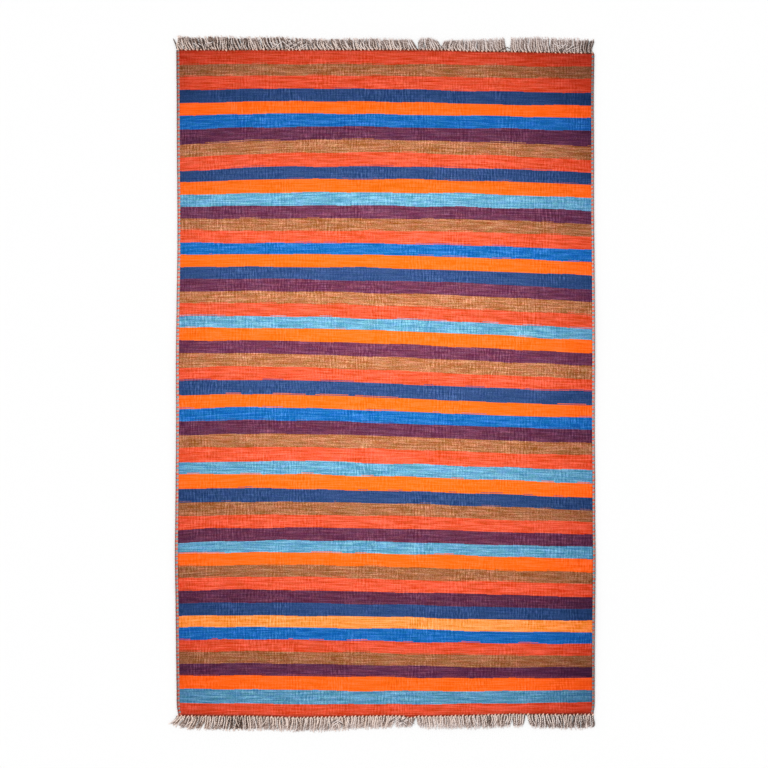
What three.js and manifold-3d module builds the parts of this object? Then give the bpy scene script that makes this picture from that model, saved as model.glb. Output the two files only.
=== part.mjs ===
// Qashqai kilim, laid out flat: one weft-faced wool cloth, a two-coloured yarn binding wound over each
// side edge, and at both ends the warps knotted into a row and left hanging as a fringe.
// Millimetres. +X runs across the rug, +Y to its far end, +Z up, and the rug lies on z = 0.

import * as THREE from "three";
import { mergeVertices } from "three/addons/utils/BufferGeometryUtils.js";
import Module from "manifold-3d";

// Whole rug
const RUG_WIDTH = 1255; // over both bindings
const CLOTH_LENGTH = 1996; // between the two knot rows
const CLOTH_THICKNESS = 3;
const PIECE_GAP = 0.3; // between two pieces that touch
const LENGTH_STEPS = 42; // straight stretches in each long edge, between its rounded corners
const CORNER_LENGTH = 22; // at each end of a long edge, in two stretches

// Edge binding
const BINDING_WIDTH = 11;
const BINDING_HEIGHT = 4.4;
const BINDING_SECTION = [
  // across: share of the width, from the outer side; up: share of the height
  { across: 0.15, up: 0 },
  { across: 0, up: 0.42 },
  { across: 0.14, up: 0.82 },
  { across: 0.38, up: 1 },
  { across: 0.66, up: 0.98 },
  { across: 0.92, up: 0.76 },
  { across: 1, up: 0.36 },
  { across: 0.9, up: 0 },
];

// Knot row and fringe
const KNOT_ROW_DEPTH = 5;
const KNOT_ROW_HEIGHT = 3;
const ROOT_DEPTH = 3.75; // how deep a lock's root sits in the knot row
const LOCKS_PER_END = 110;
const LOCK_GAP = 1; // least daylight between two locks
const LOCK_TOP_SHARE = 0.62; // width of a lock's top, as a share of its foot
const LOCK_BEND = 1.4; // 1 leans a lock straight from its root, more bends it towards its tip
const LOCK_SECTIONS = [
  // out: share of the lock's length; width and height of the lock there
  { out: 0, width: 9, height: 4.4 },
  { out: 0.17, width: 7.4, height: 3.1 },
  { out: 0.6, width: 10, height: 4 },
  { out: 1, width: 6.6, height: 2.2 },
];
const TIP_UNEVENNESS = 3; // how much shorter than the longest a single lock may be
const LEAN_UNEVENNESS = 1.6; // how far to either side a single tip may stray
const PARTING_REACH = 38; // how far beside a parting the locks are still pushed aside
const FRINGE_SEED = 52;

const CLOTH_COLOR = 0xc85a3c;
const BINDING_COLOR = 0x8f7f86;
const FRINGE_COLOR = 0xcdc3b9;

// Side edges: how far each lies outside its straight line, on the way from the near end to the far one
const SIDE_EDGES = [
  { along: -998, left: -7.5, right: -6.5 },
  { along: -987, left: -4, right: -2.5 },
  { along: -976, left: -2.2, right: -0.8 },
  { along: -930, left: -1.2, right: 0 },
  { along: -806, left: 0.6, right: 0 },
  { along: -662, left: 2.1, right: 1.2 },
  { along: -518, left: 4.2, right: 2.7 },
  { along: -422, left: 3.3, right: 1.8 },
  { along: -278, left: 1.6, right: 1.2 },
  { along: -110, left: 0.3, right: 0 },
  { along: 70, left: 0.8, right: 0.5 },
  { along: 250, left: -1.2, right: 0 },
  { along: 394, left: -3.3, right: -1 },
  { along: 538, left: -3.3, right: -2.4 },
  { along: 682, left: -2.1, right: -2.1 },
  { along: 860, left: -1.2, right: -2.7 },
  { along: 998, left: 0, right: -0.9 },
];

// Ends: how far the cloth's edge lies outside its straight line, how long the fringe is there, and how
// far its tips lean to +X
const FAR_END = [
  { across: -628, edge: 0.7, fringe: 40, lean: -16 },
  { across: -592, edge: 0.7, fringe: 41, lean: -12 },
  { across: -510, edge: 0.5, fringe: 43, lean: -9 },
  { across: -450, edge: 0.3, fringe: 42, lean: -6 },
  { across: -390, edge: 0.8, fringe: 40, lean: -11 },
  { across: -325, edge: 1, fringe: 42, lean: -10 },
  { across: -255, edge: 0.8, fringe: 38, lean: -4 },
  { across: -165, edge: 0.7, fringe: 35, lean: -9 },
  { across: -50, edge: 0.6, fringe: 37, lean: -8 },
  { across: 70, edge: 0.7, fringe: 35, lean: -8 },
  { across: 128, edge: 0.7, fringe: 39, lean: -7 },
  { across: 180, edge: 0, fringe: 34, lean: -1 },
  { across: 254, edge: -3, fringe: 37, lean: -3 },
  { across: 340, edge: -4, fringe: 41, lean: -5 },
  { across: 400, edge: -5, fringe: 45, lean: -2 },
  { across: 494, edge: -7, fringe: 44, lean: -3 },
  { across: 560, edge: -8.5, fringe: 43, lean: 0 },
  { across: 628, edge: -10, fringe: 43, lean: 9 },
];
const NEAR_END = [
  { across: -628, edge: -3, fringe: 29, lean: -26 },
  { across: -592, edge: -2.2, fringe: 41, lean: -16 },
  { across: -545, edge: -2.3, fringe: 43, lean: -12 },
  { across: -470, edge: -2, fringe: 45, lean: -7 },
  { across: -400, edge: -2, fringe: 43, lean: 0 },
  { across: -320, edge: 0.6, fringe: 43, lean: 2 },
  { across: -256, edge: 2.2, fringe: 43, lean: -3 },
  { across: -180, edge: 1.3, fringe: 44, lean: -5 },
  { across: -112, edge: -0.6, fringe: 41, lean: -1 },
  { across: 0, edge: -2.9, fringe: 39, lean: -2 },
  { across: 48, edge: -2.5, fringe: 36, lean: -5 },
  { across: 74, edge: 2.6, fringe: 32, lean: -6 },
  { across: 96, edge: -1.2, fringe: 35, lean: -2 },
  { across: 128, edge: -1, fringe: 37, lean: 1 },
  { across: 254, edge: -4.4, fringe: 42, lean: 2 },
  { across: 380, edge: -8.2, fringe: 41, lean: 0 },
  { across: 494, edge: -6.8, fringe: 43, lean: 1 },
  { across: 600, edge: -6.8, fringe: 44, lean: 0 },
  { across: 628, edge: -7.5, fringe: 40, lean: -3 },
];

// Places where the fringe parts, and how wide the parting is at the tips
const FAR_PARTINGS = [
  { across: 17, width: 6 },
  { across: 97, width: 11 },
  { across: 168, width: 22 },
  { across: 366, width: 17 },
];
const NEAR_PARTINGS = [
  { across: -538, width: 10 },
  { across: -226, width: 8 },
  { across: 29, width: 13 },
  { across: 93, width: 10 },
  { across: 381, width: 6 },
  { across: 421, width: 17 },
];

const HALF_WIDTH = RUG_WIDTH / 2;
const HALF_LENGTH = CLOTH_LENGTH / 2;
const CORNER_MARGIN = 2 * BINDING_WIDTH; // this near the rug's sides an end runs straight
const wasm = await Module();
wasm.setup();

// Smooth curve through one column of a table, read at any place along it
function curveThrough(rows, place, column) {
  const places = rows.map((row) => row[place]);
  const values = rows.map((row) => row[column]);
  const curve = new THREE.CubicInterpolant(places, values, 1);
  return (at) => curve.evaluate(at)[0];
}

const edgeOffset = {
  left: curveThrough(SIDE_EDGES, "along", "left"),
  right: curveThrough(SIDE_EDGES, "along", "right"),
  far: curveThrough(FAR_END, "across", "edge"),
  near: curveThrough(NEAR_END, "across", "edge"),
};

// Outer side of the left (-1) or right (+1) binding at a place along the rug
function sideAt(side, along) {
  const offset = side < 0 ? edgeOffset.left(along) : edgeOffset.right(along);
  return side * (HALF_WIDTH + offset);
}

// Cloth's edge at the near (-1) or far (+1) end at a place across the rug
function endAt(end, across) {
  const offset = end < 0 ? edgeOffset.near(across) : edgeOffset.far(across);
  return end * (HALF_LENGTH + offset);
}

// Closed solid through a row of like sections, each a convex ring of points that runs clockwise when
// seen from the section before
function loft(sections) {
  const ring = sections[0].length;
  const faces = [];
  for (let first = 0; first < (sections.length - 1) * ring; first += ring) {
    for (let k = 0; k < ring; k += 1) {
      const a = first + k;
      const b = first + ((k + 1) % ring);
      faces.push(a, b, b + ring);
      faces.push(a, b + ring, a + ring);
    }
  }
  const last = (sections.length - 1) * ring;
  for (let k = 1; k < ring - 1; k += 1) {
    faces.push(0, k + 1, k);
    faces.push(last, last + k, last + k + 1);
  }
  const points = sections.flat().flatMap((point) => point.toArray());
  const geometry = new THREE.BufferGeometry();
  geometry.setAttribute("position", new THREE.Float32BufferAttribute(points, 3));
  geometry.setIndex(faces);
  return geometry;
}

function toManifold(geometry) {
  const merged = mergeVertices(geometry);
  return new wasm.Manifold(
    new wasm.Mesh({
      numProp: 3,
      vertProperties: new Float32Array(merged.attributes.position.array),
      triVerts: new Uint32Array(merged.index.array),
    }),
  );
}

function fromManifold(solid) {
  const mesh = solid.getMesh();
  const geometry = new THREE.BufferGeometry();
  geometry.setAttribute("position", new THREE.BufferAttribute(mesh.vertProperties, 3));
  geometry.setIndex(new THREE.BufferAttribute(mesh.triVerts, 1));
  return geometry;
}

// Places along the rug at which a long edge bends, from one end of its binding to the other
function alongStations(side) {
  const across = side * (HALF_WIDTH - BINDING_WIDTH);
  const nearEnd = endAt(-1, across);
  const farEnd = endAt(1, across);
  const places = [nearEnd, nearEnd + CORNER_LENGTH / 2];
  for (let step = 0; step <= LENGTH_STEPS; step += 1) {
    const share = step / LENGTH_STEPS;
    places.push(THREE.MathUtils.lerp(nearEnd + CORNER_LENGTH, farEnd - CORNER_LENGTH, share));
  }
  places.push(farEnd - CORNER_LENGTH / 2, farEnd);
  return places;
}

// Places across the rug at which an end bends
function acrossStations(end) {
  const rows = end < 0 ? NEAR_END : FAR_END;
  return rows.map((row) => row.across).filter((across) => Math.abs(across) < HALF_WIDTH - CORNER_MARGIN);
}

// Both ends of a knot row, in line with the outer sides of the bindings
function rowEnds(end) {
  return [-1, 1].map((side) => sideAt(side, endAt(end, side * HALF_WIDTH)));
}

// The cloth: its outline seen from above, drawn up to its thickness
function wovenCloth() {
  const inner = (side, along) => sideAt(side, along) - side * (BINDING_WIDTH + PIECE_GAP);
  const leftEdge = alongStations(-1).map((along) => new THREE.Vector2(inner(-1, along), along));
  const rightEdge = alongStations(1).map((along) => new THREE.Vector2(inner(1, along), along));
  const [nearEdge, farEdge] = [-1, 1].map((end) =>
    acrossStations(end).map((across) => new THREE.Vector2(across, endAt(end, across))),
  );
  const outline = new THREE.Shape([...nearEdge, ...rightEdge, ...farEdge.reverse(), ...leftEdge.reverse()]);
  return new THREE.ExtrudeGeometry(outline, { depth: CLOTH_THICKNESS, bevelEnabled: false });
}

// One binding: a flat-bottomed roll of yarn that follows the cloth's side edge
function edgeBinding(side) {
  const sections = alongStations(side).map((along, index, all) => {
    const clear = { 0: PIECE_GAP, [all.length - 1]: -PIECE_GAP }[index] ?? 0;
    const ring = BINDING_SECTION.map(({ across, up }) => {
      const x = sideAt(side, along) - side * across * BINDING_WIDTH;
      return new THREE.Vector3(x, along + clear, up * BINDING_HEIGHT);
    });
    return side < 0 ? ring : ring.reverse();
  });
  return loft(sections);
}

// The row of knots that closes one end, as a strip beside the cloth's edge
function knotRow(end) {
  const [left, right] = rowEnds(end);
  const sections = [left, ...acrossStations(end), right].map((across) => {
    const inner = endAt(end, across) + end * PIECE_GAP;
    const outer = inner + end * KNOT_ROW_DEPTH;
    const low = Math.min(inner, outer);
    const high = Math.max(inner, outer);
    return [
      new THREE.Vector3(across, high, 0),
      new THREE.Vector3(across, high, KNOT_ROW_HEIGHT),
      new THREE.Vector3(across, low, KNOT_ROW_HEIGHT),
      new THREE.Vector3(across, low, 0),
    ];
  });
  return loft(sections);
}

// How far a parting pushes aside the tip of a lock that is rooted at a place
function partedBy(partings, root) {
  let push = 0;
  for (const { across, width } of partings) {
    const away = root - across;
    push += (Math.sign(away) * width * Math.exp(-Math.abs(away) / PARTING_REACH)) / 2;
  }
  return push;
}

// Root, length and sideways reach of every lock of one end
function plannedLocks(end, table, partings) {
  const fringe = curveThrough(table, "across", "fringe");
  const lean = curveThrough(table, "across", "lean");
  const [left, right] = rowEnds(end);
  const locks = [];
  for (let index = 0; index < LOCKS_PER_END; index += 1) {
    const root = THREE.MathUtils.lerp(left, right, (index + 0.5) / LOCKS_PER_END);
    const shortfall = TIP_UNEVENNESS * THREE.MathUtils.seededRandom();
    const stray = LEAN_UNEVENNESS * (2 * THREE.MathUtils.seededRandom() - 1);
    locks.push({
      root,
      length: fringe(root) - shortfall,
      sideways: lean(root) + partedBy(partings, root) + stray,
    });
  }
  return locks;
}

// Place across the rug of a lock's middle, at a share of its length
function lockAcross(lock, out) {
  return lock.root + lock.sideways * out ** LOCK_BEND;
}

// One lock, four-sided and level underneath, kept clear of both neighbours
function lockSolid(end, locks, index) {
  const lock = locks[index];
  const rootLine = endAt(end, lock.root) + end * (PIECE_GAP + KNOT_ROW_DEPTH - ROOT_DEPTH);
  const sections = LOCK_SECTIONS.map(({ out, width, height }) => {
    const middle = lockAcross(lock, out);
    const spacings = [locks[index - 1], locks[index + 1]]
      .filter((neighbour) => neighbour !== undefined)
      .map((neighbour) => Math.abs(lockAcross(neighbour, out) - middle));
    const half = Math.min(width, Math.min(...spacings) - LOCK_GAP) / 2;
    const along = rootLine + end * lock.length * out;
    const ring = [
      new THREE.Vector3(middle - half, along, 0),
      new THREE.Vector3(middle - half * LOCK_TOP_SHARE, along, height),
      new THREE.Vector3(middle + half * LOCK_TOP_SHARE, along, height),
      new THREE.Vector3(middle + half, along, 0),
    ];
    return end > 0 ? ring : ring.reverse();
  });
  return loft(sections);
}

// Knot row and locks of one end, joined into one solid
function knottedFringe(end, table, partings) {
  const locks = plannedLocks(end, table, partings);
  const solids = locks.map((lock, index) => toManifold(lockSolid(end, locks, index)));
  const row = toManifold(knotRow(end));
  return fromManifold(solids.reduce((joined, solid) => joined.add(solid), row));
}

function wool(color) {
  return new THREE.MeshStandardMaterial({ color, roughness: 0.95, metalness: 0 });
}

function piece(name, geometry, color) {
  const mesh = new THREE.Mesh(geometry, wool(color));
  mesh.name = name;
  return mesh;
}

THREE.MathUtils.seededRandom(FRINGE_SEED);
const kilim = new THREE.Group();
kilim.add(piece("woven_cloth", wovenCloth(), CLOTH_COLOR));
kilim.add(piece("left_edge_binding", edgeBinding(-1), BINDING_COLOR));
kilim.add(piece("right_edge_binding", edgeBinding(1), BINDING_COLOR));
kilim.add(piece("far_end_fringe", knottedFringe(1, FAR_END, FAR_PARTINGS), FRINGE_COLOR));
kilim.add(piece("near_end_fringe", knottedFringe(-1, NEAR_END, NEAR_PARTINGS), FRINGE_COLOR));

// The rug's own middle is the origin: the tips of the fringes reach unequally far
const reach = new THREE.Box3().setFromObject(kilim);
const middle = reach.getCenter(new THREE.Vector3());
kilim.position.set(-middle.x, -middle.y, 0);

export default kilim;
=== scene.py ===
# %% [markdown]
# # A striped wool kilim, laid out flat
# The rug comes in as five plain solids at their real size: a cloth, a yarn binding along each side and a
# knotted fringe at each end. This script gives each of them its wool. A kilim is flat and thin, so nearly
# all of its character is in its yarns: the dye of each stripe, the ribs of the warps, the turns of the
# edge yarn and the twisted ends. Each step below first says what the real piece is, how it could be made
# in Blender, and why one way was chosen.

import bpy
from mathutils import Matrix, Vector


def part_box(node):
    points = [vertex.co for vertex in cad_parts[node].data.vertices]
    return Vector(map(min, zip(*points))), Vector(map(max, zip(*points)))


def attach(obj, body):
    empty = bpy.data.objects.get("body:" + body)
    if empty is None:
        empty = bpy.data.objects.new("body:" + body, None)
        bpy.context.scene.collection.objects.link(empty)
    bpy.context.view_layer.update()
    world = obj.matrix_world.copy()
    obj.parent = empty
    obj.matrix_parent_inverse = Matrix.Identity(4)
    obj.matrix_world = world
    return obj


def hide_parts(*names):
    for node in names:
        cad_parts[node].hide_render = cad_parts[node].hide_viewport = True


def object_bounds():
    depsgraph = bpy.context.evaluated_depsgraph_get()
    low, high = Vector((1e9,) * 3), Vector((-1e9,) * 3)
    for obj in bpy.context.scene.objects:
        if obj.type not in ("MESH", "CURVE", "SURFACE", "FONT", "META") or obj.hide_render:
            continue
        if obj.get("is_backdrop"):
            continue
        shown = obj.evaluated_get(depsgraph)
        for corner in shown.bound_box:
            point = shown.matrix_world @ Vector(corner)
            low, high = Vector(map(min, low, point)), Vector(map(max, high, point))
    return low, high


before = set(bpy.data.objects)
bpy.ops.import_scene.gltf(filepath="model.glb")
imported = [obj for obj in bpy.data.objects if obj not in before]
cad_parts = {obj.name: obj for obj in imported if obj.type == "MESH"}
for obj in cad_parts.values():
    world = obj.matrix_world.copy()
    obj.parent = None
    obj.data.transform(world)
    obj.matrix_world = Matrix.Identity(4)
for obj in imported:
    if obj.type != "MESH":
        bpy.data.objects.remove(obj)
cad_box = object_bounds()
print("solids:", sorted(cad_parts))

# %% Modules and units
import math
import random

import bpy
import numpy as np
from mathutils import Vector, noise

MM = 0.001  # the tables below are in millimetres, and Blender works in metres
# The middle between the straight sides lies a little off the origin, which is the middle of the whole
# rug with its uneven fringes
RUG_MIDDLE = Vector((5.0, 0.9, 0)) * MM
HALF_WIDTH = 627.5 * MM
CLOTH_LENGTH = 1996 * MM

# %% Tables, smooth curves and noise
def table(columns, rows):
    """A table of numbers from text: the names of its columns, and its rows with commas between them."""
    names = columns.split()
    return [dict(zip(names, map(float, row.split()))) for row in rows.split(",")]


def curve_through(rows, place, column):
    """A smooth curve through one column of a table, read at any place along it."""
    places = np.array([row[place] for row in rows], float)
    values = np.array([row[column] for row in rows], float)
    slopes = np.gradient(values, places)

    def read(at):
        at = np.clip(at, places[0], places[-1])
        left = np.clip(np.searchsorted(places, at) - 1, 0, len(places) - 2)
        step = places[left + 1] - places[left]
        t = (at - places[left]) / step
        rise = (values[left + 1] - values[left]) * t * t * (3 - 2 * t)
        bend = t * (1 - t) * ((1 - t) * slopes[left] - t * slopes[left + 1]) * step
        return values[left] + rise + bend

    return read


def ripple(x, y, z):
    """Smooth noise around zero."""
    return noise.noise(Vector((x, y, z)))


# %% New meshes and objects
def new_mesh(name, places, links=(), faces=()):
    """A mesh from its points, its loose edges and its faces."""
    mesh = bpy.data.meshes.new(name)
    mesh.from_pydata(np.reshape(places, (-1, 3)).tolist(), links, faces)
    return mesh


def in_scene(name, data):
    """Adds an object with its mesh, lamp or camera to the scene."""
    result = bpy.data.objects.new(name, data)
    bpy.context.scene.collection.objects.link(result)
    return result


# %% [markdown]
# ## How the rug lies
# A woven rug never lies quite level: it rises a millimetre or two off the floor in soft swells. One
# function gives that height, and all five pieces read it, so that they stay together. A cloth simulation
# would settle to almost the same, but a few listed swells are quicker and always come out alike.

# %% Soft swells
SWELLS = table("across along wide long height", """
    -430 690 260 110 1.6, 330 520 320 90 1.2, 610 160 150 210 2.2, -610 -60 170 240 1.8,
    60 -240 300 120 1.1, -390 -620 240 130 1.5, 600 -700 170 150 2.0, 40 985 230 60 1.4,
    250 -985 190 60 1.6""")


def lie(x, y):
    """Height of the cloth's underside over the floor at a place, in metres."""
    height = 0 * x
    for swell in SWELLS:
        across = (x - swell["across"] * MM) / (swell["wide"] * MM)
        along = (y - swell["along"] * MM) / (swell["long"] * MM)
        height = height + swell["height"] * MM * np.exp(-(across**2) - along**2)
    return height


print("highest swell:", max(swell["height"] for swell in SWELLS), "mm")

# %% [markdown]
# ## The cloth's outline
# The beat of the weaver's comb and the pull of the side threads make the edges of the cloth wander by
# some millimetres. The solid already has that outline, so it is read from there: the points of its lower
# face are sorted into four edges.

# %% Read the four edges from the solid
SIDE_ZONE = 604 * MM  # points further out than this belong to a side edge

solid_points = [vertex.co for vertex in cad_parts["woven_cloth"].data.vertices]
lower_points = [(round(p.x, 6), round(p.y, 6)) for p in solid_points if p.z < 0.1 * MM]
outline = np.unique(lower_points, axis=0)
by_length = outline[np.argsort(outline[:, 1])]
left_edge = by_length[by_length[:, 0] - RUG_MIDDLE.x < -SIDE_ZONE]
right_edge = by_length[by_length[:, 0] - RUG_MIDDLE.x > SIDE_ZONE]
inner = outline[abs(outline[:, 0] - RUG_MIDDLE.x) < SIDE_ZONE]
near_edge = np.vstack([left_edge[:1], inner[inner[:, 1] < 0], right_edge[:1]])
far_edge = np.vstack([left_edge[-1:], inner[inner[:, 1] > 0], right_edge[-1:]])
print("edge points:", [len(edge) for edge in (left_edge, right_edge, near_edge, far_edge)])

# %% [markdown]
# ## The cloth
# The weft, the coloured yarn, is beaten down so hard that it hides the warps, and they show only as
# fine ribs down the length. A plane with a bump map would stay flat when seen from low down, so the cloth
# is a closed sheet with a real thickness, and its ribs are real: the columns of the grid are narrow
# enough to follow them. The underside is seldom seen and takes every fourth column.

# %% Spread a grid between the four edges
THICKNESS = 3 * MM
COLUMNS = 552  # four to a rib
ROWS = 124
UNDER_STEP = 4
SEWN_UNDER = 3.6 * MM  # how far the cloth runs in under its side bindings

u = np.linspace(0, 1, COLUMNS + 1)[None, :, None]
v = np.linspace(0, 1, ROWS + 1)[:, None, None]


def spaced(edge, axis, steps):
    """Points of an edge, evenly spaced along an axis."""
    at = np.linspace(edge[0, axis], edge[-1, axis], steps + 1)
    aside = np.interp(at, edge[:, axis], edge[:, 1 - axis])
    return np.stack([aside, at] if axis else [at, aside], axis=-1)


near_corners = (1 - u) * left_edge[0] + u * right_edge[0]
far_corners = (1 - u) * left_edge[-1] + u * right_edge[-1]
near_line, far_line = (spaced(edge, 0, COLUMNS) for edge in (near_edge, far_edge))
left_line, right_line = (spaced(edge, 1, ROWS)[:, None] for edge in (left_edge, right_edge))
plan = (1 - v) * (near_line - near_corners) + v * (far_line - far_corners)
plan = plan + (1 - u) * left_line + u * right_line
grid_x = plan[:, :, 0] + (2 * u[:, :, 0] - 1) * SEWN_UNDER
grid_y = plan[:, :, 1]
print("grid:", plan.shape[:2], "column width", round(2 * HALF_WIDTH / COLUMNS / MM, 2), "mm")

# %% [markdown]
# ## Where each stripe lies
# The weaver counts no threads, so the stripes differ by some millimetres, and the comb doesn't beat
# evenly across the loom, so their lines sag and tilt. The list gives each stripe's yarn and height from
# the far end. A + or - marks a dye lot that came out a little paler or deeper. A second table says how
# far the weft lines dip towards the near end, as a tilt, a bow and a skew across the half width. From
# both, every point of the cloth gets its stripe number, from 0 to 52, and its place as if the rug were
# straight.

# %% The weaver's list
STRIPES = """
red-:42 brown++:33 red:40 navy+:38 orange:36 royal:37 plum:43 brown+:37 red:41 navy:37 orange-:40
sky+:39 plum+:42 brown-:36 red:38 royal:34 orange:38 navy:38 plum+:35 brown+:42 red-:40 sky:33
orange:39 plum++:38 brown+:40 red:43 navy:42 orange:38 royal:36 plum-:40 brown:37 red+:42 sky:43
orange+:43 navy-:37 brown--:37 red:37 plum:38 sky:39 orange:40 brown--:35 red+:39 plum--:37 navy+:38
apricot:34 royal:41 red:35 brown--:36 plum:34 orange:41 sky-:40 red:38
""".split()
WEFT_LINES = table("down tilt bow skew", """
    0 5 4 0, 42 4 5 0, 117 9 7 -5, 192 8 8 -4, 230 6 9 -4, 268 6 18 -4, 386 6 14 -2, 505 3 8 6,
    615 10 9 1, 727 19 11 -2, 880 23 9 -3, 999 26 8 -10, 1194 21 9 -11, 1322 17 8 -3, 1435 14 12 -8,
    1585 17 7 -7, 1733 13 3 -7, 1878 10 -2 -6, 1959 -1 -7 1, 1996 -4 -7 2""")
FAR_LINE = RUG_MIDDLE.y + 998.7 * MM  # the cloth's far edge at its middle
tilt, bow, skew = (curve_through(WEFT_LINES, "down", name) for name in ("tilt", "bow", "skew"))


def straightened(x, y):
    """Stripe number, and the distances across and down as if the weft lines were straight."""
    share = (x - RUG_MIDDLE.x) / HALF_WIDTH
    seen = (FAR_LINE - y) / MM
    down = seen
    for _ in range(3):
        down = seen - (share * tilt(down) + share**2 * bow(down) + share**3 * skew(down))
    lines = np.cumsum([0.0] + [float(stripe.split(":")[1]) for stripe in STRIPES])
    return np.interp(down, lines, np.arange(len(lines))), x - RUG_MIDDLE.x, down * MM


stripe_place, across_place, down_place = straightened(grid_x, grid_y)
print("stripes:", len(STRIPES), "and their sum", sum(int(s.split(":")[1]) for s in STRIPES), "mm")

# %% [markdown]
# ## Warp ribs
# The warps lie side by side in groups, and the weft bridges them, so each group is a low rib. Ribs show
# strongly in some patches and hardly at all in others, where the weft was laid in looser. Cosines give
# the ribs, and a slow noise says how strong they are.

# %% Raise the ribs
RIB_PITCH = 2 * HALF_WIDTH / COLUMNS * 4
RIB_DEPTH = 0.28 * MM
RIB_DRIFT = 7.0  # how far the ribs wander from an even pitch, as an angle of their wave


def patchwork(wide, long, depth):
    """Smooth noise over the cloth, in patches of a size in metres."""
    return np.vectorize(ripple)(across_place / wide, down_place / long, depth)


patches = np.clip(0.5 + 0.9 * patchwork(0.13, 0.10, 3.7), 0, 1)
rib_angles = 2 * math.pi * across_place / RIB_PITCH + RIB_DRIFT * patchwork(0.05, 0.15, 1.9)
# Each rib is grooved once deeply and once more finely, and keeps a share of its depth everywhere
WIDE_GROOVE, FINE_GROOVE = 0.65, 0.35
LEAST_DEPTH, PATCH_DEPTH = 0.3, 0.7
groove = WIDE_GROOVE * (0.5 - 0.5 * np.cos(rib_angles)) + FINE_GROOVE * (0.5 - 0.5 * np.cos(2 * rib_angles))
relief = RIB_DEPTH * (LEAST_DEPTH + PATCH_DEPTH * patches) * groove
ground = lie(grid_x, grid_y)
top = np.stack([grid_x, grid_y, ground + THICKNESS - relief], axis=-1)
under = np.stack([grid_x, grid_y, ground], axis=-1)[:, ::UNDER_STEP]
print("rib pitch", round(RIB_PITCH / MM, 1), "mm, depth up to", round(float(relief.max()) / MM, 2), "mm")

# %% Join top, underside and rim into one closed sheet
top_points = np.arange(top[..., 0].size).reshape(top.shape[:2])
under_points = np.arange(under[..., 0].size).reshape(under.shape[:2]) + top_points.size


def grid_faces(points):
    """The faces between a grid's points."""
    corners = (points[:-1, :-1], points[:-1, 1:], points[1:, 1:], points[1:, :-1])
    return np.stack(corners, axis=-1).reshape(-1, 4).tolist()


faces = grid_faces(top_points) + [face[::-1] for face in grid_faces(under_points)]
rim_start = len(faces)
# The rim's four sides, anticlockwise from the near end
for upper, lower in (
    (top_points[0], under_points[0]),
    (top_points[:, -1], under_points[:, -1]),
    (top_points[-1, ::-1], under_points[-1, ::-1]),
    (top_points[::-1, 0], under_points[::-1, 0]),
):
    step = (len(upper) - 1) // (len(lower) - 1)
    for place in range(len(lower) - 1):
        run = upper[place * step:(place + 1) * step + 1]
        faces.append(lower[place:place + 2].tolist() + run[::-1].tolist())
both_sheets = np.vstack([top.reshape(-1, 3), under.reshape(-1, 3)])
cloth_mesh = new_mesh("striped_cloth", both_sheets, faces=faces)
cloth_mesh.polygons.foreach_set("use_smooth", np.arange(len(faces)) < rim_start)
cloth = in_scene("striped_cloth", cloth_mesh)
print("cloth:", sum(len(face) - 2 for face in faces), "triangles")

# %% [markdown]
# ## A painted pool of light
# The middle of the cloth is painted lighter than its ends and sides, as a pool of light from a lamp above
# it, so the same yarn is paler and a little more yellow there. Two short tables say how bright the wool
# is down the length and across the width. Their product, stored at every point of the cloth, later mixes
# each yarn's colour in shade with its colour in full light.

# %% Store the places and the painted pool of light on the cloth
BRIGHT_DOWN = table("down bright", """
    0 0.56, 60 0.63, 250 0.82, 500 0.97, 750 1.025, 1000 1.0, 1250 0.933, 1500 0.847, 1750 0.75,
    1996 0.66""")
BRIGHT_ACROSS = table("across bright", """
    -628 0.72, -576 0.79, -432 0.895, -288 0.958, -144 0.989, 0 1.0, 144 0.989, 288 0.944,
    432 0.845, 576 0.68, 628 0.62""")
DIM_COLOR_BRIGHTNESS = 0.45  # brightness at which a yarn has its colour in shade
bright_down = curve_through(BRIGHT_DOWN, "down", "bright")
bright_across = curve_through(BRIGHT_ACROSS, "across", "bright")
brightness = bright_down(down_place / MM) * bright_across(across_place / MM)
painted_light_pool = (brightness - DIM_COLOR_BRIGHTNESS) / (1 - DIM_COLOR_BRIGHTNESS)


def both_faces(values):
    """Values of the top's grid, followed by those of the underside's."""
    return np.concatenate([part.reshape(-1, *values.shape[2:]) for part in (values, values[:, ::UNDER_STEP])])


def store(mesh, name, values):
    """Stores a number at each point of a mesh."""
    attribute = mesh.attributes.new(name, "FLOAT", "POINT")
    attribute.data.foreach_set("value", np.asarray(values, np.float32))


for name, values in {"stripe": stripe_place, "across": across_place, "down": down_place,
                     "painted_light_pool": painted_light_pool, "rib_angle": rib_angles}.items():
    store(cloth_mesh, name, both_faces(values))
print("fading from", round(float(painted_light_pool.min()), 2), "to", round(float(painted_light_pool.max()), 2))

# %% A flat map of the cloth, the same for both faces
RIM_SHARE = 0.004  # the map's outer strip, which the rim takes


def read(items, name, width=1, kind=np.float32):
    """One property of all the points, corners or faces of a mesh."""
    values = np.empty(len(items) * width, kind)
    items.foreach_get(name, values)
    return values.reshape(-1, width) if width > 1 else values


corner_points = read(cloth_mesh.loops, "vertex_index", kind=np.int32)
shares = both_faces(np.stack(np.broadcast_arrays(u, v), axis=-1)[:, :, 0])[corner_points]
on_rim = np.arange(len(corner_points)) >= cloth_mesh.polygons[rim_start].loop_start
lowest = (on_rim & (corner_points >= top_points.size))[:, None] & ((shares == 0) | (shares == 1))
flat_places = np.where(lowest, shares, shares * (1 - 2 * RIM_SHARE) + RIM_SHARE)
flat_map = cloth_mesh.uv_layers.new(name="OFBake")
flat_map.data.foreach_set("uv", flat_places.astype(np.float32).ravel())
print("flat map over", len(faces), "faces")

# %% [markdown]
# ## A helper for node trees
# Materials and Geometry Nodes are both trees of nodes. One small class adds a node and joins it up in a
# single call. It gives back an output of the node as a port, and a sum or product of ports adds the math
# nodes for it, so that a long chain of nodes reads like a formula.


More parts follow.
